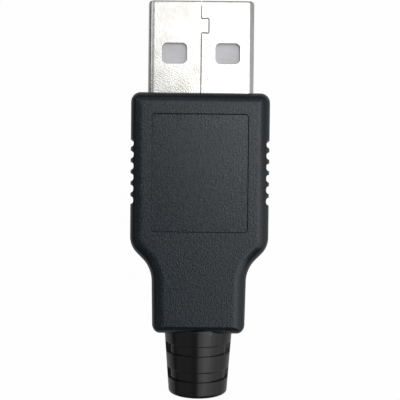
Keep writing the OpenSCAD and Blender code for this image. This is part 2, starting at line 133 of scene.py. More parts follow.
class Board:
    """The node tree of a material or of the world."""

    def __init__(
        self, owner: bpy.types.Material | bpy.types.World, shader: str = "Principled BSDF"
    ) -> None:
        """Opens the tree.

        Args:
            owner: The material or the world.
            shader: The name of the shader's node in it.
        """
        owner.use_nodes = True
        self.tree = owner.node_tree
        self.shader = self.tree.nodes[shader]

    def node(
        self,
        kind: str,
        settings: dict[str, object],
        feeds: Sequence[Feed | None] = (),
        output: str | None = None,
    ) -> Wire:
        """Adds one node.

        Args:
            kind: The node's type.
            settings: Its settings, which are made first.
            feeds: What its input sockets take, in order; None leaves one alone.
            output: The name of the output socket to return, or None for the first.

        Returns:
            The chosen output.
        """
        node = self.tree.nodes.new(kind)
        for key, value in settings.items():
            setattr(node, key, value)
        live = [socket for socket in node.inputs if socket.enabled]
        for socket, feed in zip(live, feeds):
            if feed is not None:
                self.plug(socket, feed)
        if output is None:
            return Wire(self, next(socket for socket in node.outputs if socket.enabled))
        return Wire(self, node.outputs[output])

    def plug(self, socket: bpy.types.NodeSocket, feed: Feed) -> None:
        """Links a wire to a socket, or sets its value.

        Args:
            socket: The input socket.
            feed: A wire, a number or a colour.
        """
        if isinstance(feed, Wire):
            self.tree.links.new(feed.socket, socket)
        elif socket.type == "RGBA" and not isinstance(feed, float):
            socket.default_value = (*feed, 1.0)
        else:
            socket.default_value = feed

    def set(self, **feeds: Feed) -> None:
        """Feeds the shader's sockets by name, with _ for each space.

        Args:
            feeds: What each socket takes.
        """
        for key, feed in feeds.items():
            self.plug(self.shader.inputs[key.replace("_", " ")], feed)

    def maths(self, operation: str, left: Feed, right: Feed) -> Wire:
        """Adds a Math node.

        Args:
            operation: The node's operation.
            left: Its first value.
            right: Its second value.

        Returns:
            The result.
        """
        return self.node("ShaderNodeMath", {"operation": operation}, [left, right])

    def place(self, stretch: Point = (1.0, 1.0, 1.0)) -> Wire:
        """Gives the place on the piece in millimetres.

        Args:
            stretch: What each axis is multiplied by, for a grain that runs one way.

        Returns:
            The place, as a vector.
        """
        spot = self.node("ShaderNodeTexCoord", {}, output="Object")
        scale = tuple(part / MM for part in stretch)
        return self.node("ShaderNodeVectorMath", {"operation": "MULTIPLY"}, [spot, scale])

    def noise(self, place: Wire, scale: float, detail: float = 2.0, roughness: float = 0.5) -> Wire:
        """Adds cloudy noise.

        Args:
            place: Where to read it.
            scale: How many cells there are to a millimetre.
            detail: How many finer layers it has.
            roughness: How strong the finer layers are.

        Returns:
            A value round 0.5.
        """
        settings = {"noise_dimensions": "3D"}
        return self.node("ShaderNodeTexNoise", settings, [place, scale, detail, roughness])

    def blend(self, factor: Feed, first: Feed, second: Feed) -> Wire:
        """Mixes two colours.

        Args:
            factor: How much of the second to take.
            first: The first colour.
            second: The second colour.

        Returns:
            The mixed colour.
        """
        return self.node("ShaderNodeMix", {"data_type": "RGBA"}, [factor, first, second])

    def ray(self, kind: str) -> Wire:
        """Gives 1 for light rays of one kind, and 0 for others."""
        return self.node("ShaderNodeLightPath", {}, output=kind)

    def direct(self) -> Wire:
        """Gives 1 where the camera sees the surface itself or through clear material."""
        return self.maths("MAXIMUM", self.ray("Is Camera Ray"), self.ray("Is Transmission Ray"))

    def relief(self, height: Wire, strength: float, depth: float) -> None:
        """Feeds the shader's normal from a height.

        Args:
            height: The height, from 0 to 1.
            strength: How much of the relief shows.
            depth: What a height of 1 is, in millimetres.
        """
        self.set(Normal=self.node("ShaderNodeBump", {}, [strength, depth * MM, None, height]))


# ---- Finishes ----


@dataclass(frozen=True)
class Finish:
    """What a piece is made of, which is wired once and shared by all that have it."""

    slot: str

    @property
    def name(self) -> str:
        """Gives the material's name."""
        return self.slot

    @cache
    def build(self) -> bpy.types.Material:
        """Makes the material on the first call, and gives the same one again later.

        Returns:
            The finished material.
        """
        material = bpy.data.materials.new(self.name)
        self.wire(Board(material))
        return material

    def wire(self, board: Board) -> None:
        """Wires the material, which each finish does in its own way."""
        raise NotImplementedError


@dataclass(frozen=True)
class PlatedSheet(Finish):
    """Bright nickel plating on rolled sheet, with a faint grain along its length."""

    slot: str = "plated_metal"
    colour: Colour = (0.78, 0.775, 0.76)
    cast: Colour = (0.66, 0.65, 0.61)
    roughness: float = 0.18
    grain_spread: float = 0.14
    speck_spread: float = 0.05
    rolling: Point = (9.0, 0.9, 9.0)
    depth: float = 0.012

    def wire(self, board: Board) -> None:
        """Wires the material.

        Args:
            board: The material's board.
        """
        grain = board.noise(board.place(self.rolling), scale=1.0, detail=4.0, roughness=0.6)
        cloud = board.noise(board.place(), scale=0.45, detail=3.0)
        specks = board.noise(board.place(), scale=11.0).ramp(0.62, 0.74)
        peel = board.noise(board.place(), scale=6.5, detail=1.0)
        board.set(
            Base_Color=board.blend(cloud.ramp(0.35, 0.75), self.colour, self.cast),
            Metallic=1.0,
            Roughness=self.roughness
            + self.grain_spread * (grain - 0.5)
            + self.speck_spread * specks,
        )
        board.relief(peel + 0.25 * grain + 0.1 * specks, strength=0.8, depth=self.depth)


class Texture(Enum):
    """How coarse a moulding's spark-eroded surface is, as its stretch and its depth."""

    FINE = ((1.1, 0.9, 1.0), 0.023)
    COARSE = ((1.25, 0.75, 1.0), 0.028)


@dataclass(frozen=True)
class MouldedPlastic(Finish):
    """Black plastic from a spark-eroded mould, grained on its flats and smoother on its rounds."""

    slot: str = "cover_plastic"
    texture: Texture = Texture.COARSE
    colour: Colour = (0.0004, 0.0040, 0.0080)
    crest: Colour = (0.0150, 0.0258, 0.0350)
    round_crest: float = 0.45
    flat_roughness: float = 0.27
    round_roughness: float = 0.23
    round_relief: float = 0.12
    pit_scale: float = 5.8
    crumb_scale: float = 6.2

    @property
    def name(self) -> str:
        """Gives the material's name."""
        return f"{self.slot}_{self.texture.name.lower()}"

    def wire(self, board: Board) -> None:
        """Wires the material.

        Args:
            board: The material's board.
        """
        stretch, depth = self.texture.value
        place = board.place(stretch)
        pits = board.node("ShaderNodeTexVoronoi", {"feature": "F1"}, [place, self.pit_scale])
        crumb = board.noise(place, self.crumb_scale, roughness=0.6)
        cloud = board.noise(board.place(), scale=0.35, detail=3.0)
        flat = self.flatness(board)
        rough = self.round_roughness + (self.flat_roughness - self.round_roughness) * flat
        crests = crumb.ramp(0.42, 0.60) * (self.round_crest + (1.0 - self.round_crest) * flat)
        board.set(
            Base_Color=board.blend(crests, self.colour, self.crest),
            Roughness=rough + 0.10 * (crumb - 0.5) + 0.06 * (cloud - 0.5),
        )
        grain = self.round_relief + (1.0 - self.round_relief) * flat
        board.relief((0.6 * pits + 0.9 * crumb) * grain, strength=1.0, depth=depth)

    def flatness(self, board: Board) -> Wire:
        """Tells the flats, which lie square to the mould, from the rounds between them.

        Args:
            board: The material's board.

        Returns:
            1 on the flats and 0 on the rounds.
        """
        normal = board.node("ShaderNodeTexCoord", {}, output="Normal")
        rise = board.node("ShaderNodeSeparateXYZ", {}, [normal], "Z")
        level = board.maths("ABSOLUTE", rise, 0.0)
        upright = board.maths("SQRT", 1.0 - level * level, 0.0)
        return board.maths("MAXIMUM", level, upright).ramp(0.93, 0.985)


@dataclass(frozen=True)
class SoftPlastic(Finish):
    """Smooth black soft plastic with a wet-looking gloss."""

    slot: str = "soft_plastic"
    colour: Colour = (0.0050, 0.0053, 0.0058)
    haze: Colour = (0.0085, 0.0088, 0.0096)
    roughness: float = 0.21
    spread: float = 0.10
    depth: float = 0.02

    def wire(self, board: Board) -> None:
        """Wires the material.

        Args:
            board: The material's board.
        """
        place = board.place()
        swell = board.noise(place, scale=0.5)
        skin = board.noise(place, scale=6.0, detail=3.0, roughness=0.6)
        board.set(
            Base_Color=board.blend(skin.ramp(0.35, 0.8), self.colour, self.haze),
            Roughness=self.roughness + self.spread * (skin - 0.5),
        )
        board.relief(swell + 0.08 * skin, strength=0.2, depth=self.depth)


@dataclass(frozen=True)
class WhitePlastic(Finish):
    """Off-white insulating plastic with a satin skin and faint flow marks."""

    slot: str = "insulator_plastic"
    colour: Colour = (0.72, 0.715, 0.75)
    shade: Colour = (0.65, 0.645, 0.675)
    roughness: float = 0.42
    spread: float = 0.12
    flow: Point = (0.5, 1.6, 1.6)
    depth: float = 0.006

    def wire(self, board: Board) -> None:
        """Wires the material.

        Args:
            board: The material's board.
        """
        marks = board.noise(board.place(self.flow), scale=0.8, detail=4.0)
        skin = board.noise(board.place(), scale=9.0, detail=3.0)
        board.set(
            Base_Color=board.blend(marks.ramp(0.35, 0.7), self.colour, self.shade),
            Roughness=self.roughness + self.spread * (skin - 0.5),
        )
        board.relief(skin, strength=0.18, depth=self.depth)


@dataclass(frozen=True)
class GoldFlash(Finish):
    """Thin gold plating on stamped strip, with rubbed lines along it."""

    slot: str = "contact_metal"
    colour: Colour = (0.86, 0.62, 0.27)
    pale: Colour = (0.90, 0.72, 0.42)
    roughness: float = 0.24
    spread: float = 0.12
    lines: Point = (14.0, 0.7, 14.0)
    depth: float = 0.004

    def wire(self, board: Board) -> None:
        """Wires the material.

        Args:
            board: The material's board.
        """
        rub = board.noise(board.place(self.lines), scale=1.0, detail=3.0)
        board.set(
            Base_Color=board.blend(rub.ramp(0.4, 0.7), self.colour, self.pale),
            Metallic=1.0,
            Roughness=self.roughness + self.spread * (rub - 0.5),
        )
        board.relief(rub, strength=0.15, depth=self.depth)


@dataclass(frozen=True)
class FloorPaper(Finish):
    """Pale paper that shows nearly white and keeps a soft shadow, darkened to the far left as
    painted shade for the plug's rounds to mirror.
    """

    slot: str = "floor_paper"
    dark: Colour = (0.49, 0.49, 0.49)
    pale: Colour = (0.51, 0.51, 0.51)
    # far: painted shade, a dark grey that the paper turns to at the far left, mirrored as a dim
    # side in the plug's rounds
    far: Colour = (0.12, 0.12, 0.12)
    far_from: float = 8.0
    far_to: float = 60.0
    roughness: float = 0.9
    white: float = 0.985
    shine: float = 0.15

    def wire(self, board: Board) -> None:
        """Wires the material.

        Args:
            board: The material's board.
        """
        place = board.place()
        tooth = board.noise(place, scale=0.6, detail=3.0)
        across = board.node("ShaderNodeSeparateXYZ", {}, [place], "X")
        # Painted shade: towards the far left the paper turns dark grey and stops glowing in
        # reflections, so the plug's left rounds mirror a dim side
        painted_shade_left = (0.0 - across).ramp(self.far_from, self.far_to)
        paper = board.blend(tooth, self.dark, self.pale)
        board.set(Base_Color=board.blend(painted_shade_left, paper, self.far), Roughness=self.roughness)
        mirrored = board.ray("Is Glossy Ray") * (self.shine - self.shine * painted_shade_left)
        lit = Wire(board, board.shader.outputs[0])
        glow = board.node("ShaderNodeEmission", {})
        feeds = [self.white * board.direct() + mirrored, lit, glow]
        shown = board.node("ShaderNodeMixShader", {}, feeds)
        board.plug(board.tree.nodes["Material Output"].inputs["Surface"], shown)


# ---- Outlines ----


def quarter(steps: int) -> list[Spot]:
    """Goes through a right angle in equal steps.

    Args:
        steps: How many steps there are.

    Returns:
        For each angle, what its cosine has lost from 1 and what its sine still lacks.
    """
    angles = [math.radians(90 * step / steps) for step in range(steps + 1)]
    return [(1 - math.cos(angle), 1 - math.sin(angle)) for angle in angles]


def whole_turn(count: int = 96) -> np.ndarray:
    """Divides a whole turn into equal angles."""
    return 2 * math.pi * np.arange(count) / count


def circle(radii: np.ndarray | float, turns: np.ndarray) -> list[Spot]:
    """Goes once round a centre.

    Args:
        radii: The distance from it, or one for each angle.
        turns: The angles.

    Returns:
        The points.
    """
    reach = np.broadcast_to(radii, turns.shape)
    return [(r * math.cos(t), r * math.sin(t)) for r, t in zip(reach, turns)]


def rounded(corner: Sequence[Spot], radius: float, steps: int) -> list[Spot]:
    """Rounds the middle one of three points of a path.

    Args:
        corner: The point before, the corner and the point after.
        radius: The round's radius.
        steps: How many parts the round has.

    Returns:
        The round's points, in the path's order.
    """
    before, at, after = (np.array(spot, float) for spot in corner)
    back = (before - at) / np.linalg.norm(before - at)
    ahead = (after - at) / np.linalg.norm(after - at)
    half = math.acos(float(np.clip(back @ ahead, -1.0, 1.0))) / 2
    bisector = (back + ahead) / np.linalg.norm(back + ahead)
    middle = at + bisector * radius / math.sin(half)
    first = at + back * radius / math.tan(half) - middle
    last = at + ahead * radius / math.tan(half) - middle
    start = math.atan2(first[1], first[0])
    turn = (math.atan2(last[1], last[0]) - start + 3 * math.pi) % (2 * math.pi) - math.pi
    angles = [start + turn * step / steps for step in range(steps + 1)]
    return [(middle[0] + radius * math.cos(a), middle[1] + radius * math.sin(a)) for a in angles]


def straight(first: Spot, last: Spot, parts: int) -> list[Spot]:
    """Divides a straight run, without its two ends.

    Args:
        first: Where it starts.
        last: Where it ends.
        parts: How many equal parts it has.

    Returns:
        The points between the parts.
    """
    (x, y), (end_x, end_y) = first, last
    shares = [part / parts for part in range(1, parts)]
    return [(x + (end_x - x) * share, y + (end_y - y) * share) for share in shares]


def rectangle(
    width: float, height: float, radius: float, steps: int = 8, centre: Spot = (0.0, 0.0)
) -> list[Spot]:
    """Draws a rectangle with round corners.

    Args:
        width: Its width.
        height: Its height.
        radius: Its corner radius.
        steps: How many parts each corner has.
        centre: Its middle.

    Returns:
        Its outline, once round.
    """
    x = width / 2
    y = height / 2
    corners = [(x, y), (x, -y), (-x, -y), (-x, y)]
    outline = []
    for turn in range(4):
        three = [corners[turn - 1], corners[turn], corners[(turn + 1) % 4]]
        outline += rounded(three, radius, steps)
    return [(x + centre[0], y + centre[1]) for x, y in outline]


def lying(spots: Iterable[Spot], z: float) -> list[Point]:
    """Lays an outline flat at a height."""
    return [(x, y, z) for x, y in spots]


def standing(spots: Iterable[Spot], y: float) -> list[Point]:
    """Stands an outline across the plug at a place along it."""
    return [(x, y, z) for x, z in spots]


def soft_least(first: np.ndarray, second: np.ndarray, blend: float) -> np.ndarray:
    """Takes the lesser of two values, with a round where they cross.

    Args:
        first: The first values.
        second: The second values.
        blend: The range over which they melt together.

    Returns:
        The soft minimum.
    """
    share = np.clip(0.5 + 0.5 * (second - first) / blend, 0.0, 1.0)
    return second + (first - second) * share - blend * share * (1 - share)


# ---- Meshes ----


@contextmanager
def editing(mesh: bpy.types.Mesh) -> Iterator[bmesh.types.BMesh]:
    """Opens a mesh for editing, and writes it back afterwards.

    Args:
        mesh: The mesh.

    Yields:
        The mesh as it is edited.
    """
    bm = bmesh.new()
    bm.from_mesh(mesh)
    yield bm
    bm.to_mesh(mesh)
    bm.free()


def add_object(name: str, data: bpy.types.ID) -> bpy.types.Object:
    """Puts a mesh, a lamp or a camera into the scene.

    Args:
        name: The object's name.
        data: What it holds.

    Returns:
        The object.
    """
    added = bpy.data.objects.new(name, data)
    bpy.context.scene.collection.objects.link(added)
    return added


class Shape:
    """A mesh in millimetres that grows by loops of points, bands between them and caps."""

    def __init__(self) -> None:
        """Starts with nothing."""
        self.points: list[Point] = []
        self.faces: list[tuple[int, ...]] = []
        self.tints: list[int] = []

    def loop(self, points: Iterable[Point]) -> list[int]:
        """Adds points.

        Args:
            points: The points.

        Returns:
            Their numbers.
        """
        first = len(self.points)
        self.points += [tuple(map(float, point)) for point in points]
        return list(range(first, len(self.points)))

    def face(self, corners: Sequence[int], tint: int = 0) -> None:
        """Adds one face.

        Args:
            corners: Its points' numbers.
            tint: Which of the piece's materials it has.
        """
        self.faces.append(tuple(corners))
        self.tints.append(tint)

    def band(self, low: list[int], high: list[int], tint: int = 0) -> None:
        """Joins two closed loops of the same length.

        Args:
            low: The first loop.
            high: The second loop.
            tint: Which of the piece's materials the band has.
        """
        count = len(low)
        for i in range(count):
            after = (i + 1) % count
            self.face((low[i], low[after], high[after], high[i]), tint)

    def loft(self, loops: Sequence[Iterable[Point]], capped: bool = True) -> list[list[int]]:
        """Joins a row of loops into a skin.

        Args:
            loops: The loops, all of one length.
            capped: Whether its two ends are closed by flat faces.

        Returns:
            Each loop's numbers.
        """
        rings = [self.loop(loop) for loop in loops]
        for low, high in zip(rings, rings[1:]):
            self.band(low, high)
        if capped:
            self.face(rings[0])
            self.face(rings[-1])
        return rings

    def fill_between(self, outer: list[int], inner: list[int]) -> None:
        """Fills the flat ring between two loops with triangles.

        Args:
            outer: The outer loop.
            inner: The loop of the hole.
        """
        bm = bmesh.new()
        number = {}
        edges = []
        for ring in (outer, inner):
            verts = [bm.verts.new(self.points[i]) for i in ring]
            number.update(zip(verts, ring))
            edges += [bm.edges.new((a, b)) for a, b in zip(verts, verts[1:] + verts[:1])]
        filled = bmesh.ops.triangle_fill(bm, use_beauty=True, edges=edges)
        for part in filled["geom"]:
            if isinstance(part, bmesh.types.BMFace):
                self.face([number[vert] for vert in part.verts])
        bm.free()

    def build(self, name: str, origin: Vector) -> bpy.types.Object:
        """Makes the object, with its faces turned outwards.

        Args:
            name: The object's name.
            origin: Where its own zero lies, in metres.

        Returns:
            The object.
        """
        mesh = bpy.data.meshes.new(name)
        mesh.from_pydata([Vector(point) * MM + origin for point in self.points], [], self.faces)
        mesh.polygons.foreach_set("material_index", self.tints)
        with editing(mesh) as bm:
            bmesh.ops.recalc_face_normals(bm, faces=bm.faces)
        return add_object(name, mesh)


def settle(piece: bpy.types.Object) -> None:
    """Applies all of a piece's modifiers.

    Args:
        piece: The piece.
    """
    graph = bpy.context.evaluated_depsgraph_get()
    done = bpy.data.meshes.new_from_object(piece.evaluated_get(graph))
    old = piece.data
    piece.modifiers.clear()
    piece.data = done
    done.name = piece.name
    bpy.data.meshes.remove(old)


def carve(piece: bpy.types.Object, cutters: Sequence[bpy.types.Object]) -> None:
    """Cuts other shapes out of a piece and takes them away.

    Args:
        piece: The piece to cut.
        cutters: The shapes to cut with.
    """
    for cutter in cutters:
        cut = piece.modifiers.new("cut", "BOOLEAN")
        cut.operation = "DIFFERENCE"
        cut.solver = "EXACT"
        cut.object = cutter
    settle(piece)
    for cutter in cutters:
        bpy.data.objects.remove(cutter)


def soften(piece: bpy.types.Object, width: float, keep: Callable[[Vector, Vector], bool]) -> None:
    """Rounds a piece's sharp edges.

    Args:
        piece: The piece.
        width: How wide the rounds are, in millimetres.
        keep: Says from an edge's two ends, in millimetres, whether it gets a round.
    """
    level = math.radians(0.5)
    sharp = math.radians(40)
    with editing(piece.data) as bm:
        bmesh.ops.dissolve_limit(
            bm, angle_limit=level, verts=bm.verts, edges=bm.edges, delimit={"MATERIAL"}
        )
        chosen = [
            edge
            for edge in bm.edges
            if len(edge.link_faces) == 2
            and edge.calc_face_angle(0.0) > sharp
            and keep(edge.verts[0].co / MM, edge.verts[1].co / MM)
        ]
        bmesh.ops.bevel(
            bm, geom=chosen, offset=width * MM, offset_type="OFFSET", segments=3, profile=0.5,
            affect="EDGES", clamp_overlap=True,
        )


def dress(
    piece: bpy.types.Object, node: str, finishes: Sequence[Finish], sharp_deg: float = 38.0
) -> None:
    """Gives a piece its shading and materials, and its place in the frame.

    Args:
        piece: The piece.
        node: The CAD node that it stands for.
        finishes: Its finishes, in the order of its faces' numbers.
        sharp_deg: Edges sharper than this stay crisp, in degrees.
    """
    tints = [face.material_index for face in piece.data.polygons]
    piece.data.materials.clear()
    for finish in finishes:
        piece.data.materials.append(finish.build())
    piece.data.polygons.foreach_set("material_index", tints)
    piece.data.shade_smooth()
    piece.data.set_sharp_from_angle(angle=math.radians(sharp_deg))
    normals = piece.modifiers.new("flat faces stay flat", "WEIGHTED_NORMAL")
    normals.keep_sharp = True
    settle(piece)
    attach(piece, BODY)
    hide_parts(node)
    log.info("%s: %d faces", piece.name, len(piece.data.polygons))


# ---- The housing ----


@dataclass
class Grips:
    """The row of rounded grooves down each side of the housing."""

    count: int = 6
    pitch: float = 1.27
    width: float = 0.8
    sink: float = 0.5
    from_nose: float = 5.84
    square: float = 0.7
    melt: float = 0.07
    floor_deg: float = 72.0
    floor_points: int = 17
    tooth_deg: float = 60.0
    tooth_points: int = 9

    def profile(self) -> tuple[list[float], list[float]]:
        """Works out how deep the grips are along the housing.

        Returns:
            The distances from the nose, rising, and the depth at each.
        """
        half = self.width / 2
        bow = min(half, self.sink)
        tip = (self.pitch - self.width) / 2
        floor = np.radians(np.linspace(-self.floor_deg, self.floor_deg, self.floor_points))
        tooth = np.radians(np.linspace(-self.tooth_deg, self.tooth_deg, self.tooth_points))
        along = []
        depth = []
        for groove in range(self.count):
            middle = self.from_nose + groove * self.pitch
            for turn in floor:
                reach = abs(math.sin(turn)) ** self.square
                along.append(middle + half * math.copysign(reach, turn))
                depth.append(self.sink - bow + bow * math.cos(turn) ** self.square)
            if groove < self.count - 1:
                for turn in tooth:
                    along.append(middle + self.pitch / 2 + tip * math.sin(turn))
                    depth.append(tip - tip * math.cos(turn))
        along = [along[0] - tip / 4, *along, along[-1] + tip / 4]
        return along, [0.0, *depth, 0.0]

    def cut(self, x: np.ndarray, y: np.ndarray, side_x: float) -> np.ndarray:
        """Draws the side in where the grooves are.

        Args:
            x: How far out each point is.
            y: How far behind the nose each point is, as a negative number.
            side_x: How far out the teeth reach.

        Returns:
            How far out each point is after the cut.
        """
        along, depth = self.profile()
        sunk = side_x - np.interp(-y, along, depth)
        inside = (-y > along[0]) & (-y < along[-1])
        cut = np.sign(x) * soft_least(np.abs(x), sunk, self.melt)
        return np.where(inside, cut, x)


@dataclass
class Housing:
    """The two covers, which meet halfway through the thickness."""

    body_w: float = 15.76
    body_back_w: float = 15.66
    neck_w: float = 10.8
    neck_back_w: float = 10.5
    shoulder_y: float = 17.35
    shoulder_deg: float = 45.0
    shoulder_out_r: float = 2.7
    shoulder_in_r: float = 3.5
    corner_r: float = 1.2
    tail_corner_r: float = 1.0
    least_corner: float = 0.25
    edge_r: float = 1.5
    tail_edge_r: float = 0.9
    tail_edge_bow: float = 1.5
    draft_deg: float = 2.0
    seam_r: float = 0.05
    wall: float = 1.25
    nose_wall: float = 1.5
    face_wall: float = 1.2
    clamp_wall: float = 1.6
    clamp_reach: float = 0.5
    panel_w: float = 10.6
    panel_len: float = 13.0
    panel_from_nose: float = 2.65
    panel_sink: float = 0.18
    panel_r: float = 0.35
    panel_edge_r: float = 0.045
    panel_hold: float = 0.03
    seat_gap: float = 0.05
    seat_len: float = 3.0
    arc_steps: tuple[int, ...] = (14, 22, 22, 14)
    run_parts: tuple[int, ...] = (250, 6, 18)
    end_parts: int = 10
    rough_steps: int = 4
    edge_steps: int = 42
    wall_parts: int = 5
    grips: Grips = field(default_factory=Grips)

    def __post_init__(self) -> None:
        """Takes the places from the frame."""
        low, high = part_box("front_cover")
        self.nose = high.y
        self.parting = low.z
        self.length = (high.y - low.y) / MM
        self.half = (high.z - low.z) / MM

    def outline(self, side: float, nose: float, tail: float, fine: bool = True) -> list[Spot]:
        """Draws the outline, measured from the nose.

        Args:
            side: How far it is drawn in at its sides.
            nose: How far it is drawn in at the nose.
            tail: How far it is drawn in at the cable end.
            fine: Whether it has the points that the skin needs.

        Returns:
            The outline, once round.
        """
        shift = side * math.tan(math.radians(self.shoulder_deg / 2))
        rise = (self.body_back_w - self.neck_w) / 2 / math.tan(math.radians(self.shoulder_deg))
        path = [
            (self.body_w / 2 - side, -nose),
            (self.body_back_w / 2 - side, -self.shoulder_y + shift),
            (self.neck_w / 2 - side, -self.shoulder_y - rise + shift),
            (self.neck_back_w / 2 - side, -self.length + tail),
        ]
        nose_r, tail_r = (
            max(radius - side, radius * self.least_corner)
            for radius in (self.corner_r, self.tail_corner_r)
        )
        radii = [nose_r, self.shoulder_out_r - side, self.shoulder_in_r + side, tail_r]
        whole = [(-path[0][0], path[0][1]), *path, (-path[3][0], path[3][1])]
        right: list[Spot] = []
        for i, radius in enumerate(radii):
            steps = self.arc_steps[i] if fine else self.rough_steps
            turn = rounded(whole[i : i + 3], radius, steps)
            if right:
                right += straight(right[-1], turn[0], self.run_parts[i - 1] if fine else 1)
            right += turn
        ends = self.end_parts if fine else 1
        first = (0.0, right[0][1])
        last = (0.0, right[-1][1])
        nose_run = straight(first, right[0], ends)
        right = [first, *nose_run, *right, *straight(right[-1], last, ends), last]
        return right + [(-x, y) for x, y in reversed(right[1:-1])]

    def levels(self) -> list[Point]:
        """Lists the heights of the skin's loops.

        Returns:
            For each, its height over the parting plane, its inset at the sides and at the tail.
        """
        slope = math.tan(math.radians(self.draft_deg))
        wall_top = self.half - self.edge_r
        rows = [(self.seam_r * lost, self.seam_r * lacks) for lost, lacks in quarter(4)]
        heights = np.linspace(self.seam_r, wall_top, self.wall_parts + 1)
        rows += [(z, 0.0) for z in heights[1:-1]]
        rows += [(self.half - self.edge_r * lacks, 0.0) for _, lacks in quarter(self.edge_steps)]
        out = []
        for z, seam in rows:
            side = seam + min(z, wall_top) * slope
            tail = self.inset(z, self.tail_edge_r, self.tail_edge_bow)
            out.append((z, side + self.inset(z, self.edge_r), side + tail))
        return out

    def inset(self, z: float, radius: float, bow: float = 2.0) -> float:
        """Gives how far an edge between side and face has drawn in.

        Args:
            z: The height over the parting plane.
            radius: The edge's radius.
            bow: 2 for a true round, and less for one that is nearly a chamfer.

        Returns:
            The distance from the side.
        """
        over = min(1.0, (z - self.half + radius) / radius)
        return 0.0 if over <= 0 else radius * (1 - (1 - over**bow) ** (1 / bow))

    def skin(self) -> Shape:
        """Builds one cover's closed outside, with the sunken panel in its face.

        Returns:
            The shape, with the parting plane at zero and the face upwards.
        """
        shape = Shape()
        side_x = (self.body_w + self.body_back_w) / 4
        rings = []
        for z, side, tail in self.levels():
            spots = np.array(self.outline(side, side, tail))
            spots[:, 0] = self.grips.cut(spots[:, 0], spots[:, 1], side_x)
            rings.append(shape.loop(lying(spots, z)))
        for low, high in zip(rings, rings[1:]):
            shape.band(low, high)
        shape.face(rings[0])
        panel = self.panel_rings(shape)
        shape.fill_between(rings[-1], panel[0])
        for low, high in zip(panel, panel[1:]):
            shape.band(low, high, 1)
        shape.face(panel[-1], 1)
        return shape

    def panel_rings(self, shape: Shape) -> list[list[int]]:
        """Adds the loops of the panel's rim, wall and floor.

        Args:
            shape: The cover's shape.

        Returns:
            The loops, from the face down to the floor.
        """
        r = self.panel_edge_r
        middle = (0.0, -self.panel_from_nose - self.panel_len / 2)
        rim = [(r * lacks, r * lost) for lost, lacks in quarter(3)]
        floor = [(-out, self.panel_sink - down) for out, down in reversed(rim)]
        rings = []
        for out, down in [(r + self.panel_hold, 0.0), *rim, *floor]:
            width = self.panel_w + 2 * out
            length = self.panel_len + 2 * out
            spots = rectangle(width, length, self.panel_r + out, 6, middle)
            rings.append(shape.loop(lying(spots, self.half - down)))
        return rings

    def cutters(self, origin: Vector) -> list[bpy.types.Object]:
        """Makes the solids that hollow out a cover and open its two ends.

        Args:
            origin: The cover's zero, in metres.

        Returns:
            The solids.
        """
        gap = self.seat_gap
        hollow = Shape()
        room = self.outline(self.wall, self.nose_wall, self.clamp_wall, fine=False)
        hollow.loft([lying(room, z) for z in (-PAST, self.half - self.face_wall)])
        seat = Shape()
        section = PlugShell().section(-gap, 10)
        seat.loft([standing(section, y) for y in (PAST, -self.seat_len)])
        collar = Shape()
        boot = StrainRelief()
        step_y = boot.seat - self.length
        places = [
            (boot.root_r, -self.length - PAST),
            (boot.root_r, step_y),
            (boot.waist_r, step_y + HAIR),
            (boot.waist_r, -self.length + self.clamp_wall + self.clamp_reach),
        ]
        turns = whole_turn()
        collar.loft([standing(circle(radius + gap, turns), y) for radius, y in places])
        return [shape.build("cutter", origin) for shape in (hollow, seat, collar)]

    def build(self, cover: Finish, panel: Finish) -> None:
        """Makes both covers.

        Args:
            cover: The finish of the skin.
            panel: The finish of the panel.
        """
        origin = Vector((0.0, self.nose, self.parting))
        for node, turned in (("front_cover", False), ("back_cover", True)):
            piece = self.skin().build(f"{node}_moulding", origin)
            carve(piece, self.cutters(origin))
            if turned:
                self.turn_over(piece)
            dress(piece, node, [cover, panel])

    def turn_over(self, piece: bpy.types.Object) -> None:
        """Mirrors a cover in the parting plane.

        Args:
            piece: The cover.
        """
        with editing(piece.data) as bm:
            for vert in bm.verts:
                vert.co.z = 2 * self.parting - vert.co.z
            bmesh.ops.reverse_faces(bm, faces=bm.faces)


# ---- The plug's metal shell ----


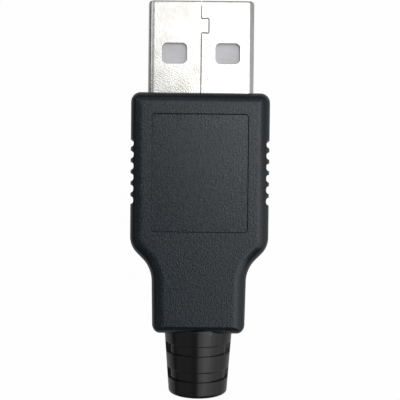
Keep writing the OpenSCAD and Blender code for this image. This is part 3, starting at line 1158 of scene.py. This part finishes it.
@dataclass
class PlugShell:
    """The folded sheet with its seam, its latch windows and its rounded mouth."""

    width: float = 12.0
    height: float = 4.5
    sheet: float = 0.3
    bend_r: float = 0.75
    lip: float = 0.16
    lip_len: float = 0.34
    lip_in: float = 0.05
    seam_gap: float = 0.11
    seam_round: float = 0.18
    tab_w: float = 0.85
    tab_hook: float = 0.07
    tab_len: float = 1.7
    tab_from_mouth: float = 2.0
    window_w: float = 2.8
    window_len: float = 2.35
    window_r: float = 0.55
    window_pitch: float = 6.0
    window_from_mouth: float = 4.8
    box_len: float = 18.7
    seam_edge: float = 0.06
    window_edge: float = 0.2

    def __post_init__(self) -> None:
        """Takes the places from the frame."""
        self.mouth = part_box("plug_shell")[1].y
        self.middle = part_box("front_cover")[0].z

    def section(self, inset: float, steps: int = 14) -> list[Spot]:
        """Draws the shell's section.

        Args:
            inset: How far it lies inside the outside face.
            steps: How many parts each bend has.

        Returns:
            The outline, once round.
        """
        width = self.width - 2 * inset
        height = self.height - 2 * inset
        return rectangle(width, height, self.bend_r - inset, steps)

    def tube(self) -> Shape:
        """Builds the closed tube of sheet, with its mouth's edge drawn in.

        Returns:
            The shape, with the mouth at zero.
        """
        rows = [(0.0, -self.box_len)]
        rows += [(self.lip * lost, -self.lip_len * lacks) for lost, lacks in quarter(8)]
        for lost, lacks in quarter(4):
            rows.append((self.sheet - self.lip_in * lacks, -self.lip_in * lost))
        rows.append((self.sheet, -self.box_len))
        shape = Shape()
        rings = shape.loft([standing(self.section(inset), y) for inset, y in rows], capped=False)
        shape.band(rings[-1], rings[0])
        return shape

    def seam(self) -> Shape:
        """Builds the thin solid that parts the sheet along its seam.

        Returns:
            The shape, with the mouth at zero.
        """
        tab_y = -self.tab_from_mouth
        low_y = tab_y - self.tab_len
        path = [
            (0.0, PAST),
            (0.0, tab_y - self.tab_hook),
            (self.tab_w, tab_y),
            (self.tab_w, low_y),
            (0.0, low_y + self.tab_hook),
            (0.0, -self.box_len - PAST),
        ]
        line = [path[0]]
        for i in range(1, len(path) - 1):
            line += rounded(path[i - 1 : i + 2], self.seam_round, 5)
        line.append(path[-1])
        spots = np.array(line)
        runs = np.diff(spots, axis=0)
        runs /= np.linalg.norm(runs, axis=1)[:, None]
        ahead = np.vstack([runs, runs[-1:]])
        back = np.vstack([runs[:1], runs])
        mean = ahead + back
        mean /= np.linalg.norm(mean, axis=1)[:, None]
        stretch = 1 / (mean * ahead).sum(axis=1)
        across = np.column_stack([-mean[:, 1], mean[:, 0]]) * (stretch * self.seam_gap / 2)[:, None]
        border = np.vstack([spots + across, (spots - across)[::-1]])
        low = self.height / 2 - 2 * self.sheet
        shape = Shape()
        shape.loft([lying(border, z) for z in (low, low + 4 * self.sheet)])
        return shape

    def windows(self) -> list[Shape]:
        """Builds the solids that open the latch windows in both faces.

        Returns:
            One solid a pair of windows.
        """
        shapes = []
        y = -self.window_from_mouth - self.window_len / 2
        for x in (-self.window_pitch / 2, self.window_pitch / 2):
            spots = rectangle(self.window_w, self.window_len, self.window_r, 8, (x, y))
            shape = Shape()
            shape.loft([lying(spots, z) for z in (-self.height, self.height)])
            shapes.append(shape)
        return shapes

    def build(self, finish: Finish) -> None:
        """Makes the shell.

        Args:
            finish: Its finish.
        """
        origin = Vector((0.0, self.mouth, self.middle))
        piece = self.tube().build("folded_shell", origin)
        carve(piece, [shape.build("cutter", origin) for shape in (self.seam(), *self.windows())])
        edge_y = self.mouth / MM - self.lip_len - self.lip_in
        near_seam = 2 * self.tab_w
        soften(piece, self.window_edge, lambda a, b: min(abs(a.x), abs(b.x)) > near_seam)
        soften(
            piece,
            self.seam_edge,
            lambda a, b: max(abs(a.x), abs(b.x)) < near_seam and max(a.y, b.y) < edge_y,
        )
        dress(piece, "plug_shell", [finish])


# ---- The mouth's inside ----


@dataclass
class Core:
    """The insulator and its contacts, taken from the frame with softened edges."""

    block_round: float = 0.06
    contact_round: float = 0.03
    weld: float = 0.0001

    def build(self, block: Finish, strip: Finish) -> None:
        """Makes the insulator and the four contacts.

        Args:
            block: The insulator's finish.
            strip: The contacts' finish.
        """
        self.copy("insulator", "tongue_block", self.block_round, block)
        for node in ("contact_power", "contact_data_minus", "contact_data_plus", "contact_ground"):
            self.copy(node, f"{node}_strip", self.contact_round, strip)

    def copy(self, node: str, name: str, width: float, finish: Finish) -> None:
        """Makes a piece from a CAD node's own faces, with small rounds on its edges.

        Args:
            node: The CAD node.
            name: The piece's name.
            width: How wide the rounds are.
            finish: Its finish.
        """
        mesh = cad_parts[node].data.copy()
        mesh.name = name
        piece = add_object(name, mesh)
        with editing(mesh) as bm:
            bmesh.ops.remove_doubles(bm, verts=bm.verts, dist=self.weld * MM)
        mesh.polygons.foreach_set("material_index", [0] * len(mesh.polygons))
        soften(piece, width, lambda a, b: True)
        dress(piece, node, [finish])


# ---- The strain relief ----


@dataclass
class StrainRelief:
    """The tapered boot with slotted bands, whose collar sits in the covers."""

    root_r: float = 3.91
    end_r: float = 3.36
    length: float = 7.2
    bore_r: float = 2.1
    bore_lip: float = 0.12
    end_round: float = 0.2
    seat: float = 0.4
    waist_r: float = 2.75
    head_r: float = 3.3
    clamp: float = 1.25
    head_len: float = 1.3
    bands: int = 2
    band_from_cover: float = 1.35
    band_pitch: float = 2.92
    band_len: float = 1.14
    band_sink: float = 0.1
    line_len: float = 0.2
    line_sink: float = 0.3
    line_lead: float = 0.03
    line_step: float = 0.02
    line_start: float = 0.35
    web_half_w: float = 3.05
    bridge_t: float = 0.6
    edge: float = 0.07
    low_edge: float = 0.4
    melt: float = 0.09
    columns: tuple[tuple[float, int], ...] = ((3.4, 4), (8.0, 22), (45.0, 24), (90.0, 14))
    step_places: tuple[float, ...] = (0.6, 0.25, 0.06, -0.06, -0.25, -0.6, -1.0)
    step_shares: tuple[float, ...] = (0.02, 0.08, 0.3, 0.7, 0.92, 0.98, 1.0)

    def turns(self) -> np.ndarray:
        """Lists the angles of the skin's columns, closer beside the bridges.

        Returns:
            The angles, once round.
        """
        runs = []
        start = 0.0
        for end, count in self.columns:
            runs.append(np.linspace(start, end, count, endpoint=False))
            start = end
        first = np.concatenate(runs)
        half = np.concatenate([first, [90.0], 180 - first[:0:-1]])
        return np.radians(np.concatenate([half, half + 180]))

    def section(self, y: float, slot: float, line: float) -> np.ndarray:
        """Gives the skin's radius at every angle of one place along the axis.

        Args:
            y: The place.
            slot: How far the slots are open there, from 0 to 1.
            line: How far the deep line is cut there, from 0 to 1.

        Returns:
            The radii.
        """
        turns = self.turns()
        taper = min(max(-y / self.length, 0.0), 1.0)
        full = self.root_r + (self.end_r - self.root_r) * taper
        sunk = full - slot * self.band_sink - line * (self.line_sink - self.band_sink)
        cosine = np.maximum(np.abs(np.cos(turns)), TINY)
        sine = np.maximum(np.abs(np.sin(turns)), TINY)
        web = self.web_half_w / cosine
        bridge = self.bridge_t / 2 / sine
        open_r = -soft_least(-web, -bridge, self.melt)
        bare = full + (sunk - full) * (np.abs(np.sin(turns)) > self.bridge_t / 2 / full)
        cut = soft_least(bare, open_r, self.melt)
        return full + (cut - full) * min(slot, 1.0)

    def rows(self) -> list[Point]:
        """Lists the places of the skin's loops outside the covers.

        Returns:
            For each, its place, how far the slots are open and how far the line is cut.
        """
        out = [(self.seat, 0.0, 0.0), (0.0, 0.0, 0.0)]

        def run(end: float, parts: int, slot: float) -> None:
            """Adds evenly spaced places from the last one to an end."""
            out.extend((y, slot, 0.0) for y in np.linspace(out[-1][0], end, parts + 1)[1:])

        for band in range(self.bands):
            top = -self.band_from_cover - band * self.band_pitch
            low = top - self.band_len
            line = low + self.line_len
            run(top + self.edge, 5, 0.0)
            out += self.step(top, 1.0, (0.0, 0.0), (1.0, 0.0))
            run(line + self.line_lead, 6, 1.0)
            out.pop()
            out.append((line + self.line_step, 1.0, 0.0))
            out.append((line, 1.0, self.line_start))
            out.append((line - self.line_step, 1.0, 1.0))
            out.append((low + self.edge, 1.0, 1.0))
            out += self.step(low, self.low_edge, (1.0, 1.0), (0.0, 0.0))
        run(self.end_round - self.length, 9, 0.0)
        return out

    def step(self, y: float, reach: float, before: Spot, after: Spot) -> list[Point]:
        """Lists the places of a steep step with round edges.

        Args:
            y: Where the step is.
            reach: How far its edges' rounds reach, as a share of the edge.
            before: The slot and line before it.
            after: The slot and line after it.

        Returns:
            The places.
        """
        out = []
        for offset, share in zip(self.step_places, self.step_shares):
            slot, line = (b + (a - b) * share for b, a in zip(before, after))
            out.append((y + offset * self.edge * reach, slot, line))
        return out

    def skin(self) -> Shape:
        """Builds the closed boot, with its bore.

        Returns:
            The shape, with the covers' end at zero.
        """
        head_y = self.seat + self.clamp
        top_y = head_y + self.head_len
        end_y = -self.length
        rings = [
            (self.bore_r, top_y),
            (self.head_r, top_y),
            (self.head_r, head_y),
            (self.waist_r, head_y),
            (self.waist_r, self.seat),
        ]
        rings += [(self.section(y, slot, line), y) for y, slot, line in self.rows()]
        for lost, lacks in quarter(8)[1:]:
            rings.append((self.end_r - self.end_round * lost, end_y + self.end_round * lacks))
        for lost, lacks in quarter(4):
            rings.append((self.bore_r + self.bore_lip * lacks, end_y + self.bore_lip * lost))
        turns = self.turns()
        shape = Shape()
        loops = [standing(circle(radii, turns), y) for radii, y in rings]
        numbers = shape.loft(loops, capped=False)
        shape.band(numbers[-1], numbers[0])
        return shape

    def build(self, finish: Finish) -> None:
        """Makes the boot.

        Args:
            finish: Its finish.
        """
        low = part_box("front_cover")[0]
        piece = self.skin().build("strain_relief_boot", Vector((0.0, low.y, low.z)))
        dress(piece, "strain_relief", [finish], sharp_deg=50.0)


# ---- Studio ----


@dataclass(frozen=True)
class Softbox:
    """A flat lamp that faces the plug.

    It hangs between two long edges, near and far, each given by its X and Z, and along gives the Y
    of its two short edges. Its radiance is how bright its face is, where 1 is white.
    """

    name: str
    near: Spot
    far: Spot
    along: Spot
    radiance: float

    def hang(self) -> None:
        """Puts the lamp into the scene."""
        (near_x, near_z), (far_x, far_z), (low_y, high_y) = self.near, self.far, self.along
        across = Vector((far_x - near_x, 0.0, far_z - near_z)) * MM
        middle = Vector((near_x + far_x, low_y + high_y, near_z + far_z)) * MM / 2
        data = bpy.data.lights.new(self.name, "AREA")
        data.shape = "RECTANGLE"
        data.size = across.length
        data.size_y = (high_y - low_y) * MM
        data.energy = self.radiance * math.pi * data.size * data.size_y
        x_axis = across.normalized()
        y_axis = Vector((0.0, 1.0, 0.0))
        z_axis = x_axis.cross(y_axis)
        if z_axis.dot(middle) < 0:
            x_axis = -x_axis
            z_axis = -z_axis
        facing = Matrix((x_axis, y_axis, z_axis)).transposed().to_4x4()
        add_object(self.name, data).matrix_world = Matrix.Translation(middle) @ facing


SOFTBOXES = (
    Softbox("key softbox", (4.0, 300.0), (90.0, 300.0), (-215.0, 66.0), 1.0),
    Softbox("key softbox side", (90.0, 300.0), (290.0, 300.0), (-215.0, 66.0), 1.55),
    Softbox("key softbox end", (-56.0, 300.0), (225.0, 300.0), (66.0, 320.0), 1.35),
    Softbox("far end", (-150.0, 300.0), (225.0, 300.0), (340.0, 900.0), 0.36),
    Softbox("bright middle", (12.0, 295.0), (130.0, 295.0), (18.0, 84.0), 2.2),
    Softbox("edge strip", (252.0, 296.0), (286.0, 296.0), (-150.0, 66.0), 1.9),
    Softbox("left wing", (-127.0, 300.0), (4.0, 300.0), (-75.0, 66.0), 0.22),
    Softbox("left low card", (-127.0, 300.0), (-420.0, 60.0), (-215.0, 55.0), 0.12),
    Softbox("left card", (-170.0, 200.0), (-80.0, 290.0), (55.0, 300.0), 0.45),
    Softbox("left lamp", (-260.0, 100.0), (-195.0, 190.0), (60.0, 300.0), 0.9),
    Softbox("right card top", (290.0, 300.0), (360.0, 186.0), (-260.0, 30.0), 0.95),
    Softbox("right card", (360.0, 186.0), (470.0, 5.0), (-260.0, 30.0), 0.62),
    Softbox("right card end", (228.0, 300.0), (440.0, 5.0), (30.0, 310.0), 0.35),
)


@dataclass
class Studio:
    """The floor, the lamps, the dim room and the camera."""

    lens: float = 55.7
    sensor_w: float = 36.0
    eye_height: float = 72.0
    eye_x: float = 0.05
    eye_y: float = -0.2
    roll_deg: float = 0.62
    clip: Spot = (2.0, 20000.0)
    floor_r: float = 2000.0
    room: float = 0.11

    def build(self) -> None:
        """Sets the whole stage."""
        self.floor()
        for softbox in SOFTBOXES:
            softbox.hang()
        self.world()
        self.camera()
        bpy.context.scene.view_settings.view_transform = "Standard"

    def floor(self) -> None:
        """Lays a round pale floor under the plug."""
        turns = whole_turn()
        radii = (self.floor_r, self.floor_r / 8, self.floor_r / 40)
        shape = Shape()
        loops = shape.loft([lying(circle(radius, turns), 0.0) for radius in radii], capped=False)
        shape.face(loops[-1])
        piece = shape.build("floor", Vector((0.0, 0.0, CAD_BOX[0][2])))
        piece.data.materials.append(FloorPaper().build())

    def world(self) -> None:
        """Gives the room its dim, even light, and a white wall past the floor's edge."""
        world = bpy.data.worlds.new("room")
        board = Board(world, "Background")
        level = self.room + (1.0 - self.room) * board.direct()
        board.set(Color=(1.0, 1.0, 1.0), Strength=level)
        bpy.context.scene.world = world

    def camera(self) -> None:
        """Looks straight down at the plug, with the mouth at the top."""
        data = bpy.data.cameras.new("eye")
        data.lens = self.lens
        data.sensor_width = self.sensor_w
        data.clip_start, data.clip_end = (distance * MM for distance in self.clip)
        eye = add_object("eye", data)
        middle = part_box("front_cover")[0].z
        eye.location = (self.eye_x * MM, self.eye_y * MM, middle + self.eye_height * MM)
        eye.rotation_euler = (0.0, 0.0, math.radians(self.roll_deg))
        bpy.context.scene.camera = eye


def main() -> None:
    """Builds every sub-assembly in order."""
    logging.basicConfig(level=logging.INFO, format="%(name)s: %(message)s")
    Studio().build()
    PlugShell().build(PlatedSheet())
    Core().build(WhitePlastic(), GoldFlash())
    Housing().build(MouldedPlastic(), MouldedPlastic(texture=Texture.FINE, flat_roughness=0.20))
    StrainRelief().build(SoftPlastic())


if __name__ == "__main__":
    main()
